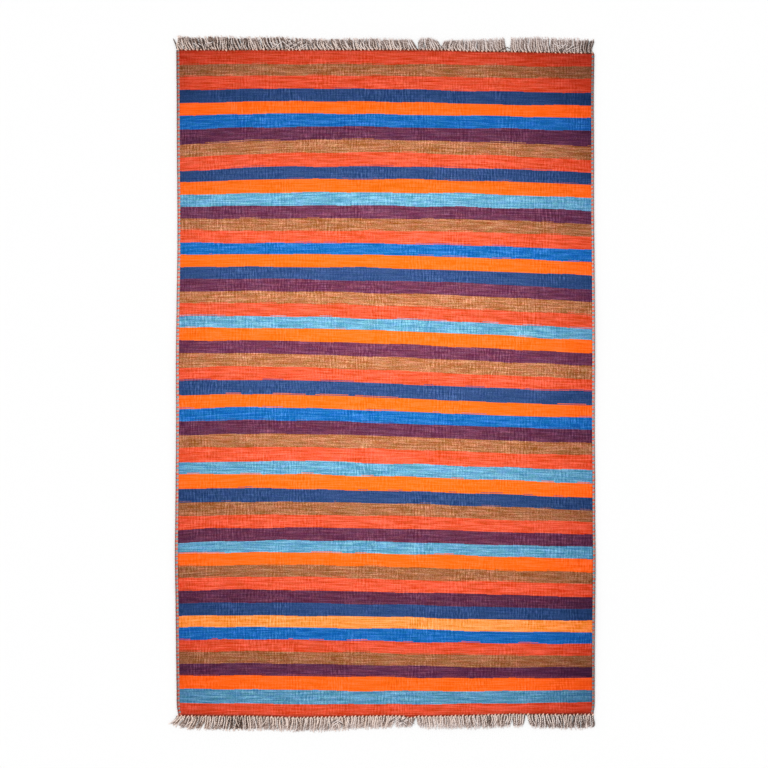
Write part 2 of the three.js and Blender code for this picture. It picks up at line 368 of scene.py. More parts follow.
# %% Ports that can be added and multiplied
class Port:
    """An output of a node. In square brackets it gives the node's other outputs."""

    def __init__(self, nodes, socket):
        self.nodes = nodes
        self.socket = socket

    def __getitem__(self, name):
        return Port(self.nodes, self.socket.node.outputs[name])

    def __rsub__(self, other):
        return self.nodes.math("SUBTRACT", other, self)


def math_method(operation):
    """A method that works out a sum, product or the like by adding a math node."""
    return lambda port, other: port.nodes.math(operation, port, other)


for symbol, operation in {"add": "ADD", "sub": "SUBTRACT", "mul": "MULTIPLY", "truediv": "DIVIDE",
                          "pow": "POWER", "mod": "MODULO", "gt": "GREATER_THAN"}.items():
    setattr(Port, f"__{symbol}__", math_method(operation))


# %% Node helper
class Nodes:
    """Adds nodes to a tree."""

    def __init__(self, tree):
        self.tree = tree

    def give(self, socket, value):
        """Sets an input to a value or joins it to a port."""
        if isinstance(value, Port):
            self.tree.links.new(value.socket, socket)
        else:
            socket.default_value = value

    def add(self, kind, inputs=(), output=0, **settings):
        """Adds one node. Its inputs are given by name, or in their order."""
        node = self.tree.nodes.new(kind)
        for name, value in settings.items():
            setattr(node, name, value)
        for name, value in inputs.items() if isinstance(inputs, dict) else enumerate(inputs):
            self.give(node.inputs[name], value)
        return Port(self, node.outputs[output])

    def math(self, operation, *values):
        return self.add("ShaderNodeMath", values, operation=operation)

    def vector_math(self, operation, *values):
        return self.add("ShaderNodeVectorMath", values, operation=operation)

    def scaled(self, vector, factor):
        return self.add("ShaderNodeVectorMath", {0: vector, "Scale": factor}, operation="SCALE")

    def vector(self, *parts):
        return self.add("ShaderNodeCombineXYZ", parts)

    def blend(self, factor, first, second, **settings):
        """Mixes two colours."""
        first, second = (color if isinstance(color, Port) else (*color, 1) for color in (first, second))
        inputs = {0: factor, 6: first, 7: second}
        return self.add("ShaderNodeMix", inputs, output=2, data_type="RGBA", **settings)

    def mapped(self, value, from_low, from_high, to_low, to_high):
        """Moves a number from one range to another."""
        return self.add("ShaderNodeMapRange", (value, from_low, from_high, to_low, to_high))

    def attribute(self, name):
        return self.add("ShaderNodeAttribute", output="Fac", attribute_name=name)

    def speckle(self, vector, detail):
        """Noise around 0.5 at the scale of its vector."""
        return self.add("ShaderNodeTexNoise", {"Vector": vector, "Scale": 1.0, "Detail": detail})

    def fibres(self, size, detail):
        """Noise around 0.5 whose grains have a size in metres."""
        place = self.add("ShaderNodeTexCoord", output="Object")
        return self.speckle(self.scaled(place, 1 / size), detail)

    def ramp(self, factor, steps, interpolation):
        """A colour ramp through places from 0 to 1 and their colours."""
        port = self.add("ShaderNodeValToRGB", [factor])
        ramp = port.socket.node.color_ramp
        ramp.interpolation = interpolation
        ramp.elements.remove(ramp.elements[1])
        for place, color in steps:
            element = ramp.elements.new(place) if place else ramp.elements[0]
            element.color = (*color, 1)
        return port


# %% What all the wools share
def shaded(item, node, values):
    """Gives a material or a world its nodes, and plain values to the inputs of one of them."""
    item.use_nodes = True
    for name, value in values.items():
        item.node_tree.nodes[node].inputs[name].default_value = value
    return item


def wool_material(name, roughness):
    """A new material of dull, slightly fuzzy wool, and its node helper."""
    dull = {"Roughness": roughness, "Specular IOR Level": 0.15, "Sheen Weight": 0.04, "Sheen Roughness": 0.5}
    material = shaded(bpy.data.materials.new(name), "Principled BSDF", dull)
    return material, Nodes(material.node_tree)


def dress(nodes, color, height, strength):
    """Gives the wool its colour and, as a bump, its finest relief."""
    inputs = nodes.tree.nodes["Principled BSDF"].inputs
    nodes.give(inputs["Base Color"], color)
    bump = {"Strength": strength, "Distance": 0.4 * MM, "Height": height}
    nodes.give(inputs["Normal"], nodes.add("ShaderNodeBump", bump))
    print("wool material:", len(nodes.tree.nodes), "nodes")


# %% [markdown]
# ## The dyed wool
# Seven dyes repeat in an order that never quite becomes a pattern, and one late stripe is a pale apricot
# from another bath. Each yarn has two colours, one in shade and one in the painted pool of light. The
# last three numbers say how much it varies: its ribs, whose grooves also get painted shade, its streaks
# along the weft, where one batch of yarn follows another, and its speckle, which is strongest in the
# brown, spun from fleece of several shades.

# %% Yarn colours
# Three numbers each for the colour in shade, the colour in full painted light and how ribs (with their
# painted groove shade), streaks and speckle vary
YARNS = {
    row.split()[0]: dict(zip(("fresh", "faded", "varies"), np.array(row.split()[1:], float).reshape(3, 3)))
    for row in """red 0.605 0.045 0.015  1.02 0.132 0.052  0.33 0.56 0.22
        brown 0.234 0.074 0.030  0.585 0.214 0.086  0.62 0.80 0.66
        navy 0.005 0.026 0.098  0.040 0.095 0.272  0.82 0.46 0.46
        orange 0.970 0.090 0.002  1.09 0.215 0.013  0.24 0.26 0.11
        royal 0.001 0.085 0.330  0.011 0.196 0.611  0.55 0.68 0.42
        plum 0.051 0.008 0.035  0.192 0.046 0.097  0.84 0.92 0.58
        sky 0.060 0.194 0.345  0.174 0.488 0.711  0.46 0.70 0.42
        apricot 0.970 0.208 0.030  1.09 0.441 0.104  0.45 0.48 0.19""".splitlines()
}
DYE_DEPTH = 0.9  # the colours above are as seen in bright light, and a dye reflects this much of it
LOT_STEP = 0.05  # how much one + or - changes the dye


def yarn_of(stripe):
    return stripe.split(":")[0].rstrip("+-")


def dye(stripe, state):
    """Colour of one stripe of the weaver's list, with its dye lot."""
    lot = 1 + LOT_STEP * (stripe.count("+") - stripe.count("-"))
    return YARNS[yarn_of(stripe)][state] * lot * DYE_DEPTH


def by_stripe(nodes, stripe, colors):
    """One colour for each stripe. A ramp holds up to 32 steps, so two ramps share the 52."""
    half = len(colors) // 2
    places = [index / half for index in range(half)]
    first = nodes.ramp(stripe / half, zip(places, colors[:half]), "CONSTANT")
    second = nodes.ramp((stripe - half) / half, zip(places, colors[half:]), "CONSTANT")
    return nodes.blend(stripe > half, first, second)


print("stripes of each yarn:", {yarn: [yarn_of(s) for s in STRIPES].count(yarn) for yarn in YARNS})

# %% Where one colour gives way to the next
striped_wool, nodes = wool_material("striped_wool", 0.92)
across, down, stripe = map(nodes.attribute, ("across", "down", "stripe"))

# The line between two colours runs level, and then steps by a pick or two of weft
LINE_LENGTH = 0.15
LINE_WANDER = 0.22  # in stripe heights
LINE_STEP = 0.14  # the wander goes by steps of this share of it
line = nodes.math("ROUND", stripe)
line_noise = nodes.speckle(nodes.vector(across / LINE_LENGTH, line * 5.3), 0.0)
line_noise = nodes.math("SNAP", line_noise + LINE_STEP / 2, LINE_STEP)
stepped = stripe + (line_noise - 0.5) * LINE_WANDER

# In places a single pick of the next colour already lies inside the stripe before
PICK_LENGTH = 0.09
PICK_PLACE = 0.94  # in stripe heights
PICK_HALF = 0.022
PICK_FROM = 0.59  # noise above which there is such a pick
pick_noise = nodes.speckle(nodes.vector(across / PICK_LENGTH, line * 3.1 + 0.7), 0.0)
on_pick = nodes.math("COMPARE", nodes.math("FRACT", stepped), PICK_PLACE, PICK_HALF)
chosen = stepped + (pick_noise > PICK_FROM) * on_pick * 0.1

fresh, faded = (by_stripe(nodes, chosen, [dye(s, state) for s in STRIPES]) for state in ("fresh", "faded"))
# Painted light: each stripe goes from its colour in shade at the ends and sides to its lit colour in the
# middle, where the painted pool of light is
dyed = nodes.blend(nodes.attribute("painted_light_pool"), fresh, faded, clamp_factor=False, clamp_result=True)
varies = by_stripe(nodes, chosen, [YARNS[yarn_of(s)]["varies"] for s in STRIPES])
rib_share, streak_share, speck_share = nodes.add("ShaderNodeSeparateColor", [varies])
print("cloth colours:", len(nodes.tree.nodes), "nodes")

# %% Ribs, streaks and speckle in the wool
GRAIN = {
    "rib": {"across": 0.0034, "down": 0.016, "gain": 1.7},  # narrow, and half a stripe long
    "streak": {"across": 0.055, "down": 0.0025, "gain": 2.3},  # thin, and long along the weft
    "speck": {"across": 0.0029, "down": 0.0026, "gain": 3.0},  # single slubs of yarn
    "cast": {"across": 0.022, "down": 0.0050, "gain": 0.55},  # changes of hue from batch to batch
}
RIB_GROOVE_SHADE = 0.2  # strength of the shade painted into the ribs' grooves
PATCH_SIZE = 0.10
END_SHADE, SIDE_SHADE, CORNER_SHADE = 0.62, 0.8, 0.66


def grain(kind, depth):
    """Noise around 0.5 with the grain's proportions. Its third coordinate is depth."""
    size = GRAIN[kind]
    return nodes.speckle(nodes.vector(across / size["across"], down / size["down"], depth), 0.5)


def grain_tone(kind, depth):
    """The same noise around zero, made stronger."""
    return (grain(kind, depth) - 0.5) * GRAIN[kind]["gain"]


# Ribs show in patches: an even wave at the pitch of the warps, which paints shade into the grooves
# between the raised ribs, and an uneven part
own_depth = nodes.math("FLOOR", stepped) * 0.12
patch = nodes.speckle(nodes.vector(across / PATCH_SIZE, down / PATCH_SIZE, own_depth), 1.0)
groove_shade = nodes.math("COSINE", nodes.attribute("rib_angle")) * RIB_GROOVE_SHADE
rib_tone = (groove_shade + grain_tone("rib", own_depth)) * rib_share * nodes.mapped(patch, 0.36, 0.62, 0.25, 1.5)
even_tone = rib_tone + grain_tone("streak", 2.3) * streak_share + grain_tone("speck", 9.1) * speck_share
# Light fibres stand out more than dark ones
tone = even_tone * even_tone * 0.5 + even_tone

# Painted shade: the wool is darker where the knots and the bindings shade its edges, and darker still
# in the corners, where the painted pool of light is dimmest
end_distance = nodes.math("MINIMUM", down, CLOTH_LENGTH - down)
side_distance = HALF_WIDTH - 0.008 - nodes.math("ABSOLUTE", across)
end_light = nodes.mapped(end_distance, 0.001, 0.004, END_SHADE, 1.0)
side_light = nodes.mapped(side_distance, 0.0, 0.003, SIDE_SHADE, 1.0)
corner_light = nodes.mapped(nodes.attribute("painted_light_pool"), -0.25, 0.25, CORNER_SHADE, 1.0)
light = end_light * side_light * corner_light

# Three unlike noises, one for each part of the colour, change its hue a little
hue = nodes.vector_math("SUBTRACT", grain("cast", 4.4)["Color"], (0.5, 0.5, 0.5))
hue = nodes.vector_math("ADD", nodes.scaled(hue, streak_share * GRAIN["cast"]["gain"]), (1.0, 1.0, 1.0))
hued = nodes.blend(1.0, dyed, hue, blend_type="MULTIPLY")

# The tone is partly more or less dye, and partly pale fibres that catch the light
DYE_PART = 0.58
FIBRE_PART = 0.42
pale = tone * nodes.add("ShaderNodeRGBToBW", [dyed]) * FIBRE_PART
fibred = nodes.vector_math("ADD", nodes.scaled(hued, tone * DYE_PART + 1.0), nodes.vector(pale, pale, pale))
toned = nodes.blend(1.0, (0, 0, 0), nodes.scaled(fibred, light), clamp_result=True)

# %% Relief of the weave
WARP_PITCH = RIB_PITCH / 4
PICK_PITCH = 1.6 * MM
warp_wave = nodes.math("SINE", across * (2 * math.pi / WARP_PITCH))
pick_wave = nodes.math("SINE", down * (2 * math.pi / PICK_PITCH))
FUZZ_WIDE, FUZZ_HIGH = 0.0016, 0.0005
fuzz = nodes.speckle(nodes.vector(across / FUZZ_WIDE, down / FUZZ_HIGH), 2.0)
dress(nodes, toned, warp_wave * pick_wave * 0.3 + fuzz + tone * 0.8, 0.35)
cloth_mesh.materials.append(striped_wool)

# %% [markdown]
# ## Growing things with Geometry Nodes
# The edge yarns and the fringe are small shapes repeated many times, each a little different. Copies
# placed by hand would be slow and all alike. A Geometry Nodes tree sets out the copies and gives each
# its own numbers, and the result is kept as a plain mesh. Both the edge yarn and the knots need the same
# shape, an oval loop of yarn.

# %% Start, end and run a tree
INPUT_KINDS = {"Geometry": "Geometry", "Material": "Material", "Seed": "Int", "Steps": "Int"}


def geometry_tree(name, labels):
    """A new tree with named inputs. Inputs that are not in the list above are numbers."""
    tree = bpy.data.node_groups.new(name, "GeometryNodeTree")
    for label in ("Geometry", *labels):
        kind = "NodeSocket" + INPUT_KINDS.get(label, "Float")
        tree.interface.new_socket(label, in_out="INPUT", socket_type=kind)
    tree.interface.new_socket("Geometry", in_out="OUTPUT", socket_type="NodeSocketGeometry")
    nodes = Nodes(tree)
    return tree, nodes, nodes.add("NodeGroupInput")


def end_tree(nodes, parts, material):
    """Ends a tree: the parts become one real mesh, smooth and with its material."""
    join = nodes.add("GeometryNodeJoinGeometry")
    for part in reversed(parts):
        nodes.give(join.socket.node.inputs[0], part)
    real = nodes.add("GeometryNodeRealizeInstances", [join])
    smoothed = nodes.add("GeometryNodeSetShadeSmooth", [real])
    finished = nodes.add("GeometryNodeSetMaterial", {"Geometry": smoothed, "Material": material})
    nodes.give(nodes.tree.nodes.new("NodeGroupOutput").inputs[0], finished)


def grown(name, start_mesh, tree, values):
    """Runs a tree on a mesh and keeps the result as a plain object."""
    start = in_scene(name + "_start", start_mesh)
    modifier = start.modifiers.new("grow", "NODES")
    modifier.node_group = tree
    for item in tree.interface.items_tree:
        if item.in_out == "INPUT" and item.name in values:
            modifier[item.identifier] = values[item.name]
    evaluated = start.evaluated_get(bpy.context.evaluated_depsgraph_get())
    mesh = bpy.data.meshes.new_from_object(evaluated)
    bpy.data.objects.remove(start)
    mesh.name = name
    mesh.materials.clear()
    mesh.materials.append(values["Material"])
    mesh.polygons.foreach_set("material_index", np.zeros(len(mesh.polygons), np.int32))
    return in_scene(name, mesh)


# %% Points, and numbers stored at them
def start_points(name, places, numbers):
    """A mesh of loose points with some numbers stored at each."""
    mesh = new_mesh(name, places)
    for label, values in numbers.items():
        store(mesh, label, values)
    return mesh


def stored_value(nodes, name):
    """Reads a stored number in a Geometry Nodes tree."""
    return nodes.add("GeometryNodeInputNamedAttribute", {"Name": name}, data_type="FLOAT")


def with_value(nodes, geometry, name, value, domain="POINT"):
    """Stores a number in a Geometry Nodes tree."""
    inputs = {"Geometry": geometry, "Name": name, "Value": value}
    return nodes.add("GeometryNodeStoreNamedAttribute", inputs, data_type="FLOAT", domain=domain)


# %% An oval loop of yarn
LOOP_STEPS = 10
YARN_SIDES = 5
LOOP_SIZES = ("Width", "Height", "Yarn Width", "Yarn Depth", "Lean")


def loop_sizes(width, height, yarn_width, yarn_depth, lean):
    """Sizes of a loop in millimetres, as inputs of a tree."""
    sizes = (width, height, yarn_width, yarn_depth, lean)
    return {label: size * MM for label, size in zip(LOOP_SIZES, sizes)}


def oval(nodes, sides, width, height):
    """A closed curve round the Z axis."""
    ring = nodes.add("GeometryNodeCurvePrimitiveCircle", {"Resolution": sides, "Radius": 0.5})
    return nodes.add("GeometryNodeTransform", {"Geometry": ring, "Scale": nodes.vector(width, height, 1.0)})


def yarn_loop(nodes, given):
    """A loop round the Y axis. Its top leans one way along Y and its underside the other way."""
    width, height, yarn_width, yarn_depth, lean = (given[label] for label in LOOP_SIZES)
    around = oval(nodes, LOOP_STEPS, width - yarn_depth, height - yarn_depth)
    yarn = oval(nodes, YARN_SIDES, yarn_depth, yarn_width)
    lying = nodes.add("GeometryNodeCurveToMesh", {"Curve": around, "Profile Curve": yarn})
    upright = nodes.add("GeometryNodeTransform", {"Geometry": lying, "Rotation": (math.pi / 2, 0, 0)})
    side, _, up = nodes.add("ShaderNodeSeparateXYZ", [nodes.add("GeometryNodeInputPosition")])
    share = side / (width * 0.5)
    shift = nodes.vector(0.0, share * lean * nodes.math("SIGN", up), 0.0)
    moved = nodes.add("GeometryNodeSetPosition", {"Geometry": upright, "Offset": shift})
    return with_value(nodes, moved, "side", share)


# %% [markdown]
# ## Flat maps for repeated shapes
# Every loop and every strand is a small tube with the same number of points. Their flat map is a sheet
# of equal cells, one for each tube, unrolled. Blender could unwrap them by itself, but it would cut them
# into thousands of scraps, too small to hold any colour.

# %% Unroll tubes into cells
CELL_MARGIN = 0.06


def unroll(mesh, first, tubes, along, around, closed, first_cell, columns):
    """Gives each tube of a mesh one cell of its flat map, and returns the next free cell.

    The tubes' points follow each other from the first one: around points for each of the along steps.
    """
    layer = mesh.uv_layers.get("OFBake") or mesh.uv_layers.new(name="OFBake")
    places = read(layer.data, "uv", 2)
    points = read(mesh.loops, "vertex_index", kind=np.int32)
    starts = read(mesh.polygons, "loop_start", kind=np.int32)
    face_of = np.searchsorted(starts, np.arange(len(points)), side="right") - 1

    inside = points - first
    chosen = (inside >= 0) & (inside < tubes * along * around)
    tube, rest = np.divmod(inside, along * around)
    step, corner = np.divmod(rest, around)
    for values, size, wraps in ((corner, around, True), (step, along, closed)):
        if wraps:
            low, high = (part.reduceat(values, starts)[face_of] for part in (np.minimum, np.maximum))
            values[(high - low > size / 2) & (values < size / 2)] += size
    cell = tube + first_cell
    steps = along if closed else along - 1
    for axis, start, share in ((0, cell % columns, corner / around), (1, cell // columns, step / steps)):
        place = start + CELL_MARGIN + (1 - 2 * CELL_MARGIN) * share
        places[chosen, axis] = (place / columns)[chosen]
    layer.data.foreach_set("uv", places.ravel())
    return first_cell + tubes


# %% [markdown]
# ## The wound edges
# Each side is bound: a red and a pale blue yarn, both doubled, are wound in turn over the outermost
# warps. Real turns lie close, lean a little and never quite match. A striped tube would look painted, so
# one oval turn of yarn is set at each step along a path beside the cloth. Every turn gets its yarn, its
# own shade and a small turn of its own. A dark bundle of warps fills the middle.

# %% Sizes of the binding
TURN_HEIGHT = 4.4
TURN_PITCH = 2.95
BUNDLE_SIDES = 8
# The left edge is wound over more warps than the right. Gap is measured from the cloth's edge
# Bright scales each side's turns, end_depth says how steeply their painted light falls towards the ends, and
# end_soil how far the painted flank shade spreads there
LEFT_SIDE, RIGHT_SIDE = table("outward width gap bright end_depth end_soil", """
    -1 9.8 1.6 1.11 0.9 1.0, 1 8.4 3.0 1.02 1.8 0.0""")


# %% A tree that winds yarn turns along a path
def turns_tree():
    """One loop of yarn at each step of a path, with a bundle of warps through them."""
    tree, nodes, given = geometry_tree("yarn_turns", [*LOOP_SIZES, "Pitch", "Seed", "Material"])

    def uneven(low, high, shift):
        """Random vectors, others for each shift of the seed."""
        inputs = {0: low, 1: high, "Seed": given["Seed"] + shift}
        return nodes.add("FunctionNodeRandomValue", inputs, data_type="FLOAT_VECTOR")

    path = nodes.add("GeometryNodeMeshToCurve", {"Mesh": given["Geometry"]})
    steps = nodes.add("GeometryNodeResampleCurve", {"Curve": path, "Length": given["Pitch"]}, mode="LENGTH")
    tangent = nodes.add("GeometryNodeInputTangent")
    facing = nodes.add("FunctionNodeAlignRotationToVector", {"Vector": tangent}, axis="Y")
    placing = {"Points": steps, "Instance": yarn_loop(nodes, given), "Rotation": facing}
    turns = nodes.add("GeometryNodeInstanceOnPoints", placing)
    wobble = uneven((-0.05, -0.1, -0.07), (0.05, 0.1, 0.07), 0.0)
    turns = nodes.add("GeometryNodeRotateInstances", {"Instances": turns, "Rotation": wobble})
    size = uneven((0.95, 0.92, 0.9), (1.06, 1.05, 1.12), 1.0)
    turns = nodes.add("GeometryNodeScaleInstances", {"Instances": turns, "Scale": size})
    pair = nodes.math("FLOOR", (nodes.add("GeometryNodeInputIndex") + 0.5) / 2)
    turns = with_value(nodes, turns, "yarn", pair % 2, "INSTANCE")
    shade = nodes.add("FunctionNodeRandomValue", {2: 0.0, 3: 1.0, "Seed": given["Seed"] + 2.0}, output=1)
    turns = with_value(nodes, turns, "shade", shade, "INSTANCE")

    long_path = nodes.add("GeometryNodeResampleCurve", {"Curve": path, "Length": 25 * MM}, mode="LENGTH")
    width, height = (given[label] - given["Yarn Depth"] for label in ("Width", "Height"))
    middle = oval(nodes, BUNDLE_SIDES, width, height)
    filling = {"Curve": long_path, "Profile Curve": middle, "Fill Caps": True}
    bundle = with_value(nodes, nodes.add("GeometryNodeCurveToMesh", filling), "yarn", 2.0)
    end_tree(nodes, [turns, bundle], given["Material"])
    return tree


# %% Material of the binding yarn
BINDING_COLORS = {
    "red": (0.90, 0.130, 0.070),
    "rose": (0.83, 0.35, 0.285),
    "blue": (0.19, 0.455, 0.52),
    "grey_blue": (0.55, 0.465, 0.415),
    "warps": (0.10, 0.06, 0.05),
}
FLANK_SHADE_COLOR = (0.135, 0.012, 0.004)  # painted shade on the outer side of the turns, which curves down away from the light
FLANK_SHADE_SHARE = 0.62
DARKEST_END = 0.48

binding_yarn, nodes = wool_material("binding_yarn", 0.9)
yarn, shade = map(nodes.attribute, ("yarn", "shade"))
reds = nodes.blend(shade**2.2, BINDING_COLORS["red"], BINDING_COLORS["rose"])
blues = nodes.blend(shade**1.4, BINDING_COLORS["blue"], BINDING_COLORS["grey_blue"])
dyes = nodes.blend(yarn > 1.5, nodes.blend(yarn > 0.5, reds, blues), BINDING_COLORS["warps"])
# Painted shade: the outer flank of each turn is darkened
flank_shade = nodes.mapped(nodes.attribute("flank"), 0.0, 0.4, 0.0, FLANK_SHADE_SHARE)
flank_shaded = nodes.blend(flank_shade, dyes, FLANK_SHADE_COLOR)
# Painted light: the stored brightness of each turn follows the painted pool of light
light = ((nodes.fibres(1.1 * MM, 2.0) - 0.5) * 0.5 + 1.0) * nodes.attribute("bright")
dress(nodes, nodes.scaled(flank_shaded, light), nodes.fibres(0.45 * MM, 3.0), 0.5)

# %% Wind both edges
PATH_POINTS = 90
END_GAP = 1.5 * MM  # how far the winding stops short of the solid's ends
FLOOR_CLEAR = 0.3 * MM  # keeps the lowest turns off the floor
winding = turns_tree()
bindings = []
for name, edge, sizes, solid in (
    ("left_wound_yarn", left_edge, LEFT_SIDE, "left_edge_binding"),
    ("right_wound_yarn", right_edge, RIGHT_SIDE, "right_edge_binding"),
):
    outward = int(sizes["outward"])
    low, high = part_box(solid)
    along_path = np.linspace(low.y + END_GAP, high.y - END_GAP, PATH_POINTS)
    side_line = curve_through(edge.tolist(), 1, 0)(along_path)
    middle = side_line + outward * (sizes["gap"] + sizes["width"] / 2) * MM
    rise = lie(middle, along_path) + TURN_HEIGHT * MM / 2 + FLOOR_CLEAR
    links = [(index, index + 1) for index in range(PATH_POINTS - 1)]
    path = new_mesh(name + "_path", np.stack([middle, along_path, rise], axis=-1), links)
    inputs = {"Pitch": TURN_PITCH * MM, "Seed": 11 + outward, "Material": binding_yarn}
    inputs.update(loop_sizes(sizes["width"], TURN_HEIGHT, yarn_width=3.3, yarn_depth=1.6, lean=0.8))
    binding = grown(name, path, winding, inputs)
    bindings.append(binding)

    mesh = binding.data
    points = read(mesh.vertices, "co", 3)
    in_turns = int(np.sum(read(mesh.attributes["yarn"].data, "value") < 1.5))
    # Painted light and shade: the turns follow the cloth's painted pool of light down the length and grow
    # darker towards the ends, where the painted flank shade also spreads over more of each turn
    painted_light_down = bright_down((FAR_LINE - points[:, 1]) / MM)
    end_flank_shade = sizes["end_soil"] * np.maximum(1 - painted_light_down, 0)
    store(mesh, "flank", read(mesh.attributes["side"].data, "value") * outward + end_flank_shade)
    store(mesh, "bright", np.maximum(painted_light_down ** sizes["end_depth"], DARKEST_END) * sizes["bright"])
    turns = in_turns // (LOOP_STEPS * YARN_SIDES)
    columns = math.ceil(math.sqrt(turns + 1))
    free = unroll(mesh, 0, turns, LOOP_STEPS, YARN_SIDES, True, 0, columns)
    bundle_steps = (len(points) - in_turns) // BUNDLE_SIDES
    unroll(mesh, in_turns, 1, bundle_steps, BUNDLE_SIDES, False, free, columns)
    print(binding.name, "with", turns, "turns, lowest", round(float(points[:, 2].min()) / MM, 3), "mm")

# %% [markdown]
# ## The fringe
# At each end the warps run out of the cloth. They are undyed wool, two plies twisted into a strand, and
# bundles of them are knotted against the last weft so that it can't slip. The strands then lie loose:
# they lean together, part, cross and hide a lower layer, painted dark as the shade beneath them. A
# brush of hair would be the quick way, but it could not be measured or exported, and its strands would
# have no twist. So each strand is planned as a few numbers, and a tree grows both plies from them.

# %% How the strands lie
ROOT_BAND = 4.2  # how far the knots stand out from the cloth
KNOT_PITCH = 11.1
PARTING_REACH = 38  # how far from a parting its neighbours are pushed aside
MIDDLE_TONE = 0.68

# How far from the middle of an end things go on to each side
FRINGE_HALF = 628
STRANDS_TO = 625
KNOTS_TO = 622.3
CLUMPS_TO = 640.0

# Layers of strands, from the floor up. Tone 0 is the darkest wool and 1 the lightest
LAYERS = [
    # The lowest layer's dark tones are painted shade under the strands above it
    {"strands": 200, "girth": 7.2, "height": 2.6, "tone": (0.10, 0.34), "loose": 1.2, "reach": 0.95},
    {"strands": 180, "girth": 4.3, "height": 3.6, "tone": (0.91, 1.19), "loose": 1.0, "reach": 1.07},
    {"strands": 40, "girth": 2.8, "height": 5.2, "tone": (0.80, 1.15), "loose": 8.0, "reach": 1.03},
]


def tangled(low, high, count, seed):
    """Loose strands that lie across each other between two places, light and dark in turn."""
    dice = random.Random(seed)
    strands = []
    for index in range(count):
        strands.append({
            "across": dice.uniform(low, high),
            "out": dice.uniform(2, 15),
            "reach": dice.uniform(10, 19),
            "lean": dice.uniform(12, 26) * dice.choice((-1, 1)),
            "bow": dice.uniform(-7, 7),
            "girth": dice.uniform(2.6, 3.6),
            "height": dice.uniform(5.0, 6.2),
            "tone": dice.uniform(0.9, 1.15) if index % 3 else dice.uniform(0.05, 0.2),
        })
    return strands


# %% Tables of the two ends
# Fringe gives the length of the strands and their lean. A parting pushes the tips on its left and right
# aside, and is bare at the roots. In a patch the wool is lighter or darker, or its strands more alike.
# Strays are single strands. Warmth is that of the wool in the middle, and how it falls to the right. The
# rest is habit: how far a knot leads strands aside, how much of the way they start from it, how strongly
# they are drawn into locks, how much they lean and bow together, and how loose each one is
FAR_END = {
    "edge": far_edge, "outward": 1, "seed": 5, "warmth": (0.45, 0.25),
    "hook": 5.0, "gather": 0.5, "pull": 1.0, "together": 1.0, "loose": 1.5,
    "fringe": table("across length lean", """
        -628 43 2, -600 43 -2, -560 41 -7, -510 44 -6, -450 42 -3, -390 40 -8, -325 42 -7, -255 38 -1,
        -165 35 -6, -50 37 -5, 70 35 -5, 128 39 -4, 180 34 2, 254 37 0, 340 41 -2, 400 45 1, 494 46 0,
        560 45 3, 600 44 7, 628 43 15"""),
    "partings": table("across left right bare", """
        17 3 2 0, 97 8 10 10, 167 11 10 0, 366 1 1 13, 627 0 0 14"""),
    "patches": table("across wide tone alike", """
        0 1500 -0.05 0, 0 300 0.12 0, 290 40 0.06 0, -340 20 -0.12 0, -448 24 -0.22 0, -556 24 -0.13 0,
        612 22 -0.40 0, 400 240 0 0.42"""),
    "strays": table("across reach lean bow girth tone out height", """
        -625 31 -11 0 4.0 0.1 4 3, 340 13 27 0 3.6 0.1 1 5, 366 -6 10 0 3.2 0.2 14 5,
        534 12 8 -5 3.4 0.95 14 5.6, 539 9 6 -4 3.4 0.1 16 5.8, 543 6 4 -3 3.4 1.0 18 6""")
    + tangled(-328, -250, 18, 31) + tangled(520, 560, 8, 32) + tangled(-560, -530, 6, 33),
}
NEAR_END = {
    "edge": near_edge, "outward": -1, "seed": 8, "warmth": (0.65, 0.20),
    "hook": 1.5, "gather": 0.15, "pull": 0.4, "together": 0.6, "loose": 1.8,
    "fringe": table("across length lean", """
        -628 26 -23, -592 39 -16, -545 43 -12, -470 45 -7, -400 43 0, -320 43 2, -256 43 -3, -180 44 -5,
        -112 41 -1, 0 39 -2, 48 36 -5, 74 32 -6, 96 35 -2, 128 37 1, 254 42 2, 380 41 0, 494 44 1,
        600 44 0, 628 40 -3"""),
    "partings": table("across left right bare", """
        -538 5 4 0, -226 3 4 0, 29 6 6 0, 90 6 4 11, 381 6 5 4, 420 9 9 7"""),
    "patches": table("across wide tone alike", """
        150 900 0.05 0, -60 400 0.16 0, -447 42 -0.32 0, -550 30 -0.10 0, 470 160 -0.09 0,
        590 60 -0.05 0, 160 90 0 0.35"""),
    "strays": table("across reach lean bow girth tone out height", """
        -622 20 -22 0 4.4 0.7 2.7 3, -618 23 -22 0 4.2 0.6 2.7 3""")
    + tangled(22, 74, 18, 36) + tangled(-160, -130, 6, 35),
}
print("strays:", len(FAR_END["strays"]), "and", len(NEAR_END["strays"]))


# %% Pushes, patches and steps
def edge_at(edge, x):
    """Where an end of the cloth lies along the rug, at places across it."""
    return np.interp(x, edge[:, 0], edge[:, 1])


def bump(across, middle, wide):
    """From 0 to 1: how near a place is to a middle."""
    return math.exp(-(((across - middle) / wide) ** 2))


def pushed(across, partings):
    """How far the partings push a tip to the side."""
    push = 0.0
    for parting in partings:
        away = across - parting["across"]
        force = -parting["left"] if away < 0 else parting["right"]
        push += force * math.exp(-abs(away) / PARTING_REACH)
    return push


def patched(across, end, kind):
    """How much lighter the wool is at a place, or how much more alike."""
    return sum(patch[kind] * bump(across, patch["across"], patch["wide"]) for patch in end["patches"])


def uneven_steps(pitch, seed):
    """Places from one side to the other, at nearly even steps."""
    dice = random.Random(seed)
    places = [-KNOTS_TO]
    while places[-1] < KNOTS_TO - pitch:
        places.append(places[-1] + pitch * dice.uniform(0.86, 1.14))
    return places


def rooted(end, across, out, height):
    """Places in metres, from their distances in millimetres."""
    x = RUG_MIDDLE.x + np.array(across) * MM
    y = edge_at(end["edge"], x) + end["outward"] * np.array(out) * MM
    return np.stack([x, y, lie(x, y) + np.array(height) * MM], axis=-1).tolist()


